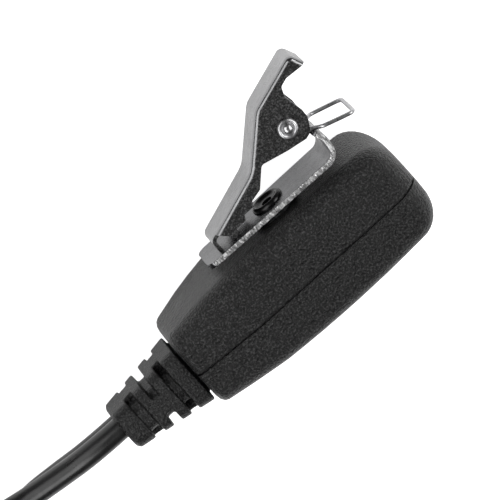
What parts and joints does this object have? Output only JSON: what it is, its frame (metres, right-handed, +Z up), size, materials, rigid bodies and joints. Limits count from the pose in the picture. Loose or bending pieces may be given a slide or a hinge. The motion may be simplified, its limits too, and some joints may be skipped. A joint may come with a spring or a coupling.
{
  "type": "lavalier microphone",
  "caption": "Clip-on lavalier microphone with a talk button, a swivelling spring clip, a ribbed cord boot, a coiled lead with a jack plug and a short lead with a socket.",
  "frame": {"origin": "on the lower flat side face, below the clip's swivel axis, at the middle of the housing's thickness", "axes": "+X along the housing to its closed end, +Y out of the back face with the clip, +Z up across the width"},
  "size_m": [0.1525, 0.0612, 0.02],
  "materials": {
    "housing_black": "fine spark-eroded texture",
    "button_black": "satin",
    "boot_rubber": "fine matte grain",
    "lead_jacket": "smooth satin PVC",
    "moulded_grip": "satin moulded",
    "tie_band": "satin",
    "nickel_sheet": "bright nickel plating",
    "spring_wire": "bright drawn wire",
    "rivet_black": "gloss black",
    "nylon_washer": "plain",
    "plated_contact": "nickel plated",
    "insulator": "moulded",
    "board_green": "solder mask",
    "board_parts_mix": "moulded and tinned",
    "screw_steel": "zinc plated",
    "copper_wire": "coloured insulation",
    "capsule_can": "drawn can",
    "holder_rubber": "matte",
    "felt": "felt"
  },
  "bodies": {
    "housing": {"board_parts": "board_parts_mix", "capsule_holder": "holder_rubber", "circuit_board": "board_green", "cord_anchor": "boot_rubber", "cord_tie": "tie_band", "dust_screen": "felt", "earpiece_cord": "lead_jacket", "front_shell": "housing_black", "housing_screws": "screw_steel", "inner_leads": "lead_jacket", "lead_wires": "copper_wire", "main_cord": "lead_jacket", "main_cord_coil": "lead_jacket", "main_cord_tail": "lead_jacket", "microphone_capsule": "capsule_can", "plug_body": "moulded_grip", "plug_insulators": "insulator", "plug_relief": "boot_rubber", "plug_ring": "plated_contact", "plug_sleeve": "plated_contact", "plug_tip": "plated_contact", "rear_shell": "housing_black", "socket_body": "moulded_grip", "socket_contacts": "plated_contact", "socket_relief": "boot_rubber", "strain_relief": "boot_rubber", "switch_body": "insulator", "swivel_rivet": "rivet_black", "swivel_washer": "nylon_washer"},
    "clip": {"clip_base": "nickel_sheet", "clip_spring": "spring_wire", "pivot_pin": "nickel_sheet"},
    "lever": {"clip_lever": "nickel_sheet"},
    "button": {"talk_button": "button_black", "switch_plunger": "insulator"}
  },
  "joints": [
    {"name": "clip_swivel", "type": "hinge", "parent": "housing", "child": "clip", "pos_m": [0, 0.01, 0.01], "axis": [0, 1, 0], "continuous": true},
    {"name": "lever_hinge", "type": "hinge", "parent": "clip", "child": "lever", "pos_m": [0.0102, 0.01915, 0.01], "axis": [0, 0, -1], "range_deg": [0, 25], "stiffness_Nm_per_rad": 0.06, "springref_deg": -17.19, "deforming": ["clip_spring"]},
    {"name": "talk_press", "type": "slide", "parent": "housing", "child": "button", "axis": [0, 1, 0], "range_m": [0, 0.0006], "stiffness_N_per_m": 2500, "springref_m": -0.0004}
  ]
}
